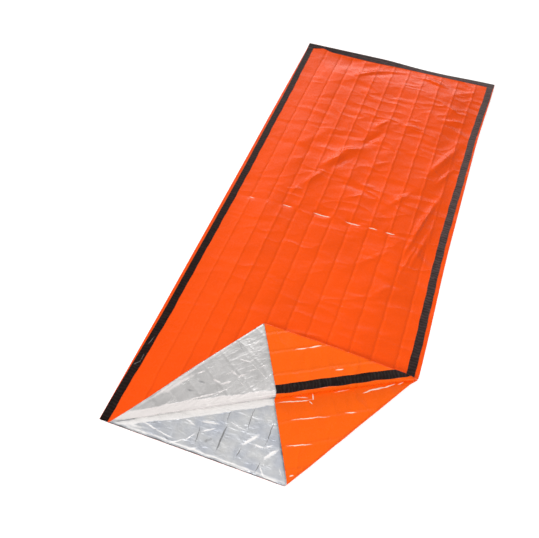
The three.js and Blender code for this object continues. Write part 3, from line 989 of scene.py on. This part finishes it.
class FilmMap:
    """The nodes that the finishes of a film share: its flat map, a little wavy, and noise on it."""

    def __init__(self, tree):
        self.tree = tree
        plain = tree.node("ShaderNodeUVMap", uv_map="flat").outputs["UV"]
        waves = tree.vectors("SUBTRACT", tree.noise(plain, 22.0, 2.0, "Color"), (0.5, 0.5, 0.5))
        self.flat = tree.vectors("MULTIPLY_ADD", waves, (MAP_WAVE, MAP_WAVE, 0.0), plain)
        places = tree.node("ShaderNodeSeparateXYZ", {"Vector": plain})
        self.across = places.outputs["X"]
        self.along = places.outputs["Y"]
        self.cloud = tree.noise(plain, 6.0, 3.0)
        self.fine = tree.noise(plain, 55.0, 4.0, Roughness=0.55, Distortion=0.6)

    def total(self, lines):
        """Lines added up, each one's rise or light mark on its middle and falling off to nothing at its edges."""
        added = 0.0
        for across, along, length, width, turn, amount in lines:
            placed = self.tree.node(
                "ShaderNodeMapping",
                {
                    "Vector": self.flat,
                    "Location": (across, along, 0.0),
                    "Rotation": (0.0, 0.0, math.radians(turn)),
                    "Scale": (length / 2, width / 2, 1.0),
                },
                vector_type="TEXTURE",
            ).outputs["Vector"]
            tent = self.tree.node("ShaderNodeTexGradient", {"Vector": placed}, gradient_type="SPHERICAL")
            added = self.tree.maths("MULTIPLY_ADD", tent.outputs["Fac"], amount, added)
        return added

    def packing_creases(self):
        """Height of the sharp lengthwise creases, which turn about halfway along the bag."""
        lines = [
            Wrinkle(crease.across, 0.0, ENDLESS, SHARP_WIDTH, 90, crease.fold * SHARP_RISE) for crease in CREASES
        ]
        ends = (CROSS_AT - SHARP_TURN_ABOUT, CROSS_AT + SHARP_TURN_ABOUT)
        return self.tree.maths("MULTIPLY", self.total(lines), self.tree.stretch(self.along, *ends, 1.0, -1.0))

    def rumples(self, turn, scale, rise, detail):
        """Height of irregular ridges that run at a turn from the mouth edge."""
        turned = self.tree.node(
            "ShaderNodeMapping",
            {"Vector": self.flat, "Rotation": (0.0, 0.0, math.radians(-turn)), "Scale": (1.0, RUMPLE_STRETCH, 1.0)},
        ).outputs["Vector"]
        noise = self.tree.noise(turned, scale, detail, Roughness=0.5, Distortion=0.4)
        from_ridge = self.tree.maths("ABSOLUTE", self.tree.maths("SUBTRACT", noise, 0.5))
        return self.tree.maths("MULTIPLY", from_ridge, -rise)

    def slanting_rumples(self):
        """Height of the orange side's slanting ridges, which grow towards the foot and the right side."""
        by_length = self.tree.stretch(self.along, CROSS_AT - 0.3, CROSS_AT + 0.3, 0.85, 1.0)
        by_width = self.tree.stretch(self.across, 0.15, 0.45, 0.40, 1.0)
        amount = self.tree.maths("MULTIPLY", by_length, by_width)
        return self.tree.maths("MULTIPLY", self.rumples(*ORANGE_RUMPLES), amount)

    def beyond_corner_fold(self, lay):
        """1 on the folded corner, 0 on the rest of the film."""
        sine = math.sin(lay.flap_ear.tilt)
        cosine = math.cos(lay.flap_ear.tilt)
        across = self.tree.maths("MULTIPLY_ADD", self.across, sine, -lay.width * sine)
        along = self.tree.maths("MULTIPLY_ADD", self.along, cosine, -lay.sizes.corner_climb * cosine)
        return self.tree.stretch(self.tree.maths("SUBTRACT", across, along), 0.0, CORNER_LIGHT_EASE, 0.0, 1.0)

    def painted_mask(self, light_mark, sign):
        """How far the painted light marks of lines show, 0 to 1, with broken edges: pale ones with a sign of 1, dark
        ones with -1.
        """
        broken = self.tree.maths("MULTIPLY_ADD", self.fine, 0.5, -0.25)
        shown = self.tree.maths("MULTIPLY_ADD", light_mark, sign, broken)
        return self.tree.stretch(shown, 0.14, 0.50, 0.0, 1.0)


def orange_film(name, lay, colours, ridges, painted_lines):
    """The film's orange outside: a smooth, slightly glossy plastic, with painted highlights as pale lines along some
    creases, and painted light on the folded corner, a lighter orange.
    """
    material, tree = new_material(name)
    film = FilmMap(tree)
    # Painted highlights: the lines' marks whiten the film, and they also raise low ridges.
    light_mark = film.total(painted_lines)
    height = tree.maths("MULTIPLY", film.fine, ORANGE_GRAIN)
    for part in (film.packing_creases(), film.total(ridges), film.slanting_rumples()):
        height = tree.maths("ADD", height, part)
    height = tree.maths("MULTIPLY_ADD", light_mark, LINE_RISE, height)
    outside = colours.outside
    tint = tree.ramp(film.cloud, [(0.3, shaded(outside, 0.96)), (0.7, shaded(outside, 1.04))])
    # Painted light: the folded corner is mixed to a lighter orange.
    tint = tree.mix(film.beyond_corner_fold(lay), tint, colours.corner)
    tree.surface({
        "Base Color": tree.mix(film.painted_mask(light_mark, 1.0), tint, ORANGE_GLINT),
        "Roughness": tree.stretch(film.fine, 0.3, 0.7, 0.22, 0.32),
        "Normal": tree.relief(height),
        "Specular IOR Level": 0.14,
    })
    return material


def silver_film(name, colour, shade, highlight_colour, painted_lines):
    """The film's metallised inside: a soft mirror with fine crinkles, with painted highlights along some of them,
    pale and less metallic, and painted shade along others.
    """
    material, tree = new_material(name)
    film = FilmMap(tree)
    light_mark = film.total(painted_lines)
    height = tree.maths("MULTIPLY", film.fine, SILVER_GRAIN)
    height = tree.maths("MULTIPLY_ADD", film.packing_creases(), -SILVER_CREASE_SHARE, height)
    for rumples in SILVER_RUMPLES:
        height = tree.maths("ADD", height, film.rumples(*rumples))
    height = tree.maths("MULTIPLY_ADD", tree.maths("MINIMUM", light_mark, 1.0), LINE_RISE, height)
    # Painted highlights: pale lines turn to the highlight colour and lose most of their metal.
    pale = film.painted_mask(light_mark, 1.0)
    tint = tree.ramp(tree.noise(film.flat, 13.0, 2.0), [(0.35, shade), (0.65, shaded(colour, 1.06))])
    # Painted shade: lines with negative marks are mixed darker.
    tint = tree.mix(film.painted_mask(light_mark, -1.0), tint, SILVER_VALLEY_SHADE)
    tree.surface({
        "Base Color": tree.mix(pale, tint, highlight_colour),
        "Metallic": tree.maths("MULTIPLY_ADD", pale, -0.9, 1.0),
        "Roughness": tree.stretch(film.fine, 0.3, 0.7, 0.34, 0.46),
        "Normal": tree.relief(height),
    })
    return material


def black_tape(colour):
    """Cloth-backed tape: ribs of thread across it, a painted sheen that makes it paler towards the foot and the
    right side, and crinkles drawn as painted pale glints.
    """
    material, tree = new_material(TAPE_FINISH)
    tape = FilmMap(tree)
    ribs = tree.node(
        "ShaderNodeTexWave",
        {"Vector": tape.flat, "Scale": 27.0, "Distortion": 5.0, "Detail": 2.0, "Detail Scale": 2.0},
        bands_direction="Y",
    ).outputs["Fac"]
    patches = tree.noise(tape.flat, 34.0, 3.0)
    threads = tree.maths("MULTIPLY", ribs, tape.fine)
    # Painted sheen: paler towards the foot and the right side, broken up by patches and ribs.
    by_length = tree.stretch(tape.along, 0.3, 1.6, 0.15, 1.0)
    by_width = tree.stretch(tape.across, 0.1, 0.8, 0.35, 1.0)
    painted_sheen = tree.stretch(tree.maths("MULTIPLY", by_length, by_width), 0.15, 1.0, 0.0, 1.0)
    painted_sheen = tree.maths("MULTIPLY", painted_sheen, tree.stretch(patches, 0.3, 0.7, 0.6, 1.4))
    painted_sheen = tree.maths("MULTIPLY", painted_sheen, tree.stretch(ribs, 0.0, 1.0, 0.6, 1.3))
    dark = tree.ramp(patches, [(0.3, shaded(colour, 0.7)), (0.7, shaded(colour, 1.5))])
    tint = tree.mix(painted_sheen, dark, TAPE_SHEEN)
    tint = tree.mix(tree.stretch(threads, 0.25, 0.55, 0.0, 0.04), tint, TAPE_DUST_AND_GLINT)
    height = tree.maths("MULTIPLY", threads, TAPE_WEAVE)
    tree.surface({
        # Painted highlights: the crinkle glints are mixed in pale.
        "Base Color": tree.mix(tape.painted_mask(tape.total(TAPE_GLINTS), 1.0), tint, TAPE_DUST_AND_GLINT),
        "Roughness": tree.stretch(patches, 0.3, 0.7, 0.45, 0.60),
        "Normal": tree.relief(tree.maths("MULTIPLY_ADD", patches, TAPE_BUCKLE, height)),
        "Specular IOR Level": 0.12,
    })
    return material


def white_floor(colour):
    """A white studio floor that glows a little."""
    material, tree = new_material("white floor")
    tree.surface({
        "Base Color": (*colour, 1.0),
        "Roughness": 0.9,
        "Specular IOR Level": 0.1,
        "Emission Color": (1.0, 1.0, 1.0, 1.0),
        "Emission Strength": 0.28,
    })
    return material


def film_grid(lay, rows_at, relief=0.0):
    """Flat places of a film's grid, with its right edge drawn in by a relief where the folds meet."""
    columns = lay.film_columns()
    across = np.repeat(columns[None, :], len(rows_at(columns[0])), axis=0)
    along = np.stack([rows_at(column) for column in columns], axis=1)
    if relief:
        to_pivot = np.abs(along[:, -1] - lay.sizes.corner_climb) / relief
        across[:, -1] -= relief * np.maximum(0, 1 - to_pivot)
    return across, along


class SLEEPINGBAG_OT_bottom_film(bpy.types.Operator):
    """Lays the bottom film flat, with its corner turned up"""

    bl_idname = "sleeping_bag.bottom_film"
    bl_label = "Bottom Film"

    def execute(self, context):
        bag = context.scene.sleeping_bag
        lay = LyingBag(bag)
        across, along = film_grid(lay, lay.bottom_rows)
        points = lay.bottom_place(across, along, np.zeros_like(across))
        film = lay_sheet("bottom_film", across, along, points, outside_down=True)
        colours = context.scene.sleeping_bag_colours
        outside = orange_film("orange under film", lay, colours, (), LOWER_EAR_GLINTS)
        inside = silver_film("silver under film", colours.inside, MOUTH_SHADE, MOUTH_HIGHLIGHT, MOUTH_LINES)
        thicken(film, bag.film, [outside, inside])
        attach(film, "root")
        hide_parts("bottom_panel")
        return {"FINISHED"}


class SLEEPINGBAG_OT_top_film(bpy.types.Operator):
    """Lays the top film over the bottom one, with its mouth end turned back"""

    bl_idname = "sleeping_bag.top_film"
    bl_label = "Top Film"

    def execute(self, context):
        bag = context.scene.sleeping_bag
        lay = LyingBag(bag)
        across, along = film_grid(lay, lay.top_rows, relief=CORNER_RELIEF)
        points = lay.top_place(across, along, np.zeros_like(across))
        film = lay_sheet("top_film", across, along, points)
        colours = context.scene.sleeping_bag_colours
        # Painted highlights along the pressed-in dashes of the groove.
        dashes = [
            Line(
                (dash.start + dash.end) / 2, CROSS_AT, DASH_REACH * (dash.end - dash.start), DASH_WIDTH, 0,
                DASH_GLINT * dash.depth,
            )
            for dash in CROSS_DASHES
        ]
        # Painted reflection: a warmer copy of the inside colour for the flap.
        flap_reflected_tint = [channel * warmth for channel, warmth in zip(colours.inside, FLAP_REFLECTED_WARMTH)]
        outside = orange_film("orange top film", lay, colours, BASE_WRINKLES, [*UPPER_EAR_GLINTS, *dashes])
        inside = silver_film("silver top film", flap_reflected_tint, shaded(flap_reflected_tint, 0.92), FLAP_HIGHLIGHT, FLAP_LINES)
        thicken(film, bag.film, [outside, inside])
        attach(film, "root")
        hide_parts("top_panel")
        return {"FINISHED"}


def tape_height(bag):
    """How far a tape's middle lies above the middle of the film under it."""
    return bag.film / 2 + FILM_APART / 2 + bag.tape / 2


def add_tape(context, name, node, across, along):
    """A tape on the top film, from its grid of flat places."""
    bag = context.scene.sleeping_bag
    lay = LyingBag(bag)
    points = lay.top_place(across, along, np.full_like(across, tape_height(bag)))
    tape = lay_sheet(name, across, along, points)
    colour = context.scene.sleeping_bag_colours.tape
    thicken(tape, bag.tape, [bpy.data.materials.get(TAPE_FINISH) or black_tape(colour)])
    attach(tape, "root")
    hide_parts(node)


class SLEEPINGBAG_OT_side_tapes(bpy.types.Operator):
    """Lays the tapes on the two side seams"""

    bl_idname = "sleeping_bag.side_tapes"
    bl_label = "Side Tapes"

    def execute(self, context):
        bag = context.scene.sleeping_bag
        lay = LyingBag(bag)
        shares = np.linspace(0, 1, TAPE_GRID_LINES)
        for name, node in (("left_side_tape", "left_tape"), ("right_side_tape", "right_tape")):
            across_columns = []
            along_columns = []
            for share in shares:
                rows = lay.top_rows(self.tape_across(lay, node, np.zeros(1), share)[0])
                rows = np.minimum(rows, lay.hem_start - FILM_APART)
                across = self.tape_across(lay, node, rows, share)
                along = np.array([lay.top_rows(place)[row] for row, place in enumerate(across)])
                across_columns.append(across)
                along_columns.append(np.minimum(along, lay.hem_start - FILM_APART))
            add_tape(context, name, node, np.stack(across_columns, axis=1), np.stack(along_columns, axis=1))
        return {"FINISHED"}

    @staticmethod
    def tape_across(lay, node, along, share):
        """Flat places across the film of a line in a side tape."""
        long, short = WAVER_LENGTHS
        waver = TAPE_WAVER * (np.sin(along / long) + np.sin(along / short + WAVER_SHIFT * share)) / 2
        if node == "left_tape":
            return side_at(along, "left_margin") + share * lay.sizes.tape_width + waver * np.sign(share)
        return lay.width - side_at(along, "right_margin") - (1 - share) * lay.sizes.tape_width + waver


class SLEEPINGBAG_OT_foot_tape(bpy.types.Operator):
    """Lays the tape on the foot seam"""

    bl_idname = "sleeping_bag.foot_tape"
    bl_label = "Foot Tape"

    def execute(self, context):
        bag = context.scene.sleeping_bag
        lay = LyingBag(bag)
        columns = np.clip(lay.film_columns(), FOOT_MARGIN, bag.width - FOOT_MARGIN)
        across, shares = np.meshgrid(columns, np.linspace(0, 1, TAPE_GRID_LINES))
        tuck = lay.foot_tuck(across, "inner")
        along = lay.hem_start + tuck + shares * (bag.foot_tape_width - tuck)
        add_tape(context, "foot_seam_tape", "foot_tape", across, along)
        return {"FINISHED"}


class Lamp(NamedTuple):
    """A square lamp: its place, its aim, its size and power, and whether gloss reflects it."""

    name: str
    place: tuple
    aim: tuple
    size: float
    power: float
    in_gloss: bool


LAMPS = table(
    Lamp,
    ("key", (-2.6, -7.9, 5.5), (0.0, -0.4, 0.0), 2.7, 330.0, False),
    ("low", (-6.5, 4.5, 1.9), (0.1, 0.5, 0.0), 2.0, 295.0, False),
    ("front", (1.1, -1.7, 2.7), (0.1, -0.6, 0.0), 0.3, 26.0, True),
)

# The room's light, from the side away from the bright wall, 0, to the middle of that wall, 1.
ROOM_LIGHT = (
    (0.0, 0.12), (0.45, 0.13), (0.63, 0.16), (0.80, 0.156), (0.86, 0.132), (0.90, 0.17),
    (0.93, 0.26), (0.95, 0.36), (0.965, 0.48), (0.98, 0.71), (0.995, 0.86),
)
ROOM_STRENGTH = 3.03
WALL_DIRECTION = (-0.27, 0.927, 0.26)
FLOOR_HALF = 12.0
FLOOR_DROP = 0.0002
SENSOR_WIDTH = 36.0


class SLEEPINGBAG_OT_studio(bpy.types.Operator):
    """Sets up the white floor, the soft studio light and the camera"""

    bl_idname = "sleeping_bag.studio"
    bl_label = "Studio"

    def execute(self, context):
        scene = context.scene
        studio = scene.sleeping_bag_studio
        mesh = bmesh.new()
        bmesh.ops.create_grid(mesh, x_segments=1, y_segments=1, size=FLOOR_HALF)
        bmesh.ops.translate(mesh, verts=mesh.verts, vec=(0.0, 0.0, -FLOOR_DROP))
        floor = mesh_object("floor", mesh)
        floor.data.materials.append(white_floor(scene.sleeping_bag_colours.floor))
        self.light_room(scene)
        for lamp in LAMPS:
            self.hang_lamp(scene, lamp)
        camera = bpy.data.cameras.new("camera")
        camera.lens = studio.lens
        camera.sensor_width = SENSOR_WIDTH
        camera.sensor_fit = "HORIZONTAL"
        viewer = bpy.data.objects.new("camera", camera)
        viewer.location = studio.camera_place
        viewer.rotation_euler = Euler(studio.camera_turn)
        scene.collection.objects.link(viewer)
        scene.camera = viewer
        scene.view_settings.view_transform = "Standard"
        scene.view_settings.look = "None"
        return {"FINISHED"}

    @staticmethod
    def light_room(scene):
        """A pale room with a bright wall beyond the foot."""
        world = bpy.data.worlds.new("studio")
        world.use_nodes = True
        scene.world = world
        tree = NodeTree(world.node_tree)
        direction = tree.node("ShaderNodeTexCoord").outputs["Generated"]
        toward_wall = tree.vectors("DOT_PRODUCT", direction, WALL_DIRECTION, output="Value")
        share = tree.maths("MULTIPLY_ADD", toward_wall, 0.5, 0.5)
        sky = tree.ramp(share, [(place, (light, light, light)) for place, light in ROOM_LIGHT])
        background = tree.node("ShaderNodeBackground", {"Color": sky, "Strength": ROOM_STRENGTH})
        tree.node("ShaderNodeOutputWorld", {"Surface": background.outputs["Background"]})

    @staticmethod
    def hang_lamp(scene, lamp):
        """Adds a square lamp, aimed at a point."""
        light = bpy.data.lights.new(lamp.name, "AREA")
        light.size = lamp.size
        light.energy = lamp.power
        hung = bpy.data.objects.new(lamp.name, light)
        hung.location = lamp.place
        hung.rotation_euler = (Vector(lamp.place) - Vector(lamp.aim)).to_track_quat("Z", "Y").to_euler()
        hung.visible_glossy = lamp.in_gloss
        scene.collection.objects.link(hung)


class SLEEPINGBAG_PT_sidebar(bpy.types.Panel):
    """Lists the bag's sizes, colours and pieces"""

    bl_label = "Sleeping Bag"
    bl_space_type = "VIEW_3D"
    bl_region_type = "UI"
    bl_category = "Sleeping Bag"

    def draw(self, context):
        layout = self.layout
        scene = context.scene
        for group in (scene.sleeping_bag, scene.sleeping_bag_colours, scene.sleeping_bag_studio):
            column = layout.column(align=True)
            for name in group.bl_rna.properties.keys():
                if name not in {"rna_type", "name"}:
                    column.prop(group, name)
        for operator in OPERATORS:
            layout.operator(operator.bl_idname)


GROUPS = (BagSizes, BagColours, StudioSizes)
OPERATORS = (
    SLEEPINGBAG_OT_bottom_film,
    SLEEPINGBAG_OT_top_film,
    SLEEPINGBAG_OT_side_tapes,
    SLEEPINGBAG_OT_foot_tape,
    SLEEPINGBAG_OT_studio,
)
CLASSES = (*GROUPS, *OPERATORS, SLEEPINGBAG_PT_sidebar)


def register():
    """Registers the classes, and their groups of properties on the scene."""
    for kind in CLASSES:
        bpy.utils.register_class(kind)
    bpy.types.Scene.sleeping_bag = PointerProperty(type=BagSizes)
    bpy.types.Scene.sleeping_bag_colours = PointerProperty(type=BagColours)
    bpy.types.Scene.sleeping_bag_studio = PointerProperty(type=StudioSizes)


def unregister():
    """Takes the properties and the classes off again."""
    del bpy.types.Scene.sleeping_bag_studio
    del bpy.types.Scene.sleeping_bag_colours
    del bpy.types.Scene.sleeping_bag
    for kind in reversed(CLASSES):
        bpy.utils.unregister_class(kind)


def main():
    register()
    bpy.ops.sleeping_bag.bottom_film()
    bpy.ops.sleeping_bag.top_film()
    bpy.ops.sleeping_bag.side_tapes()
    bpy.ops.sleeping_bag.foot_tape()
    bpy.ops.sleeping_bag.studio()


if __name__ == "__main__":
    main()
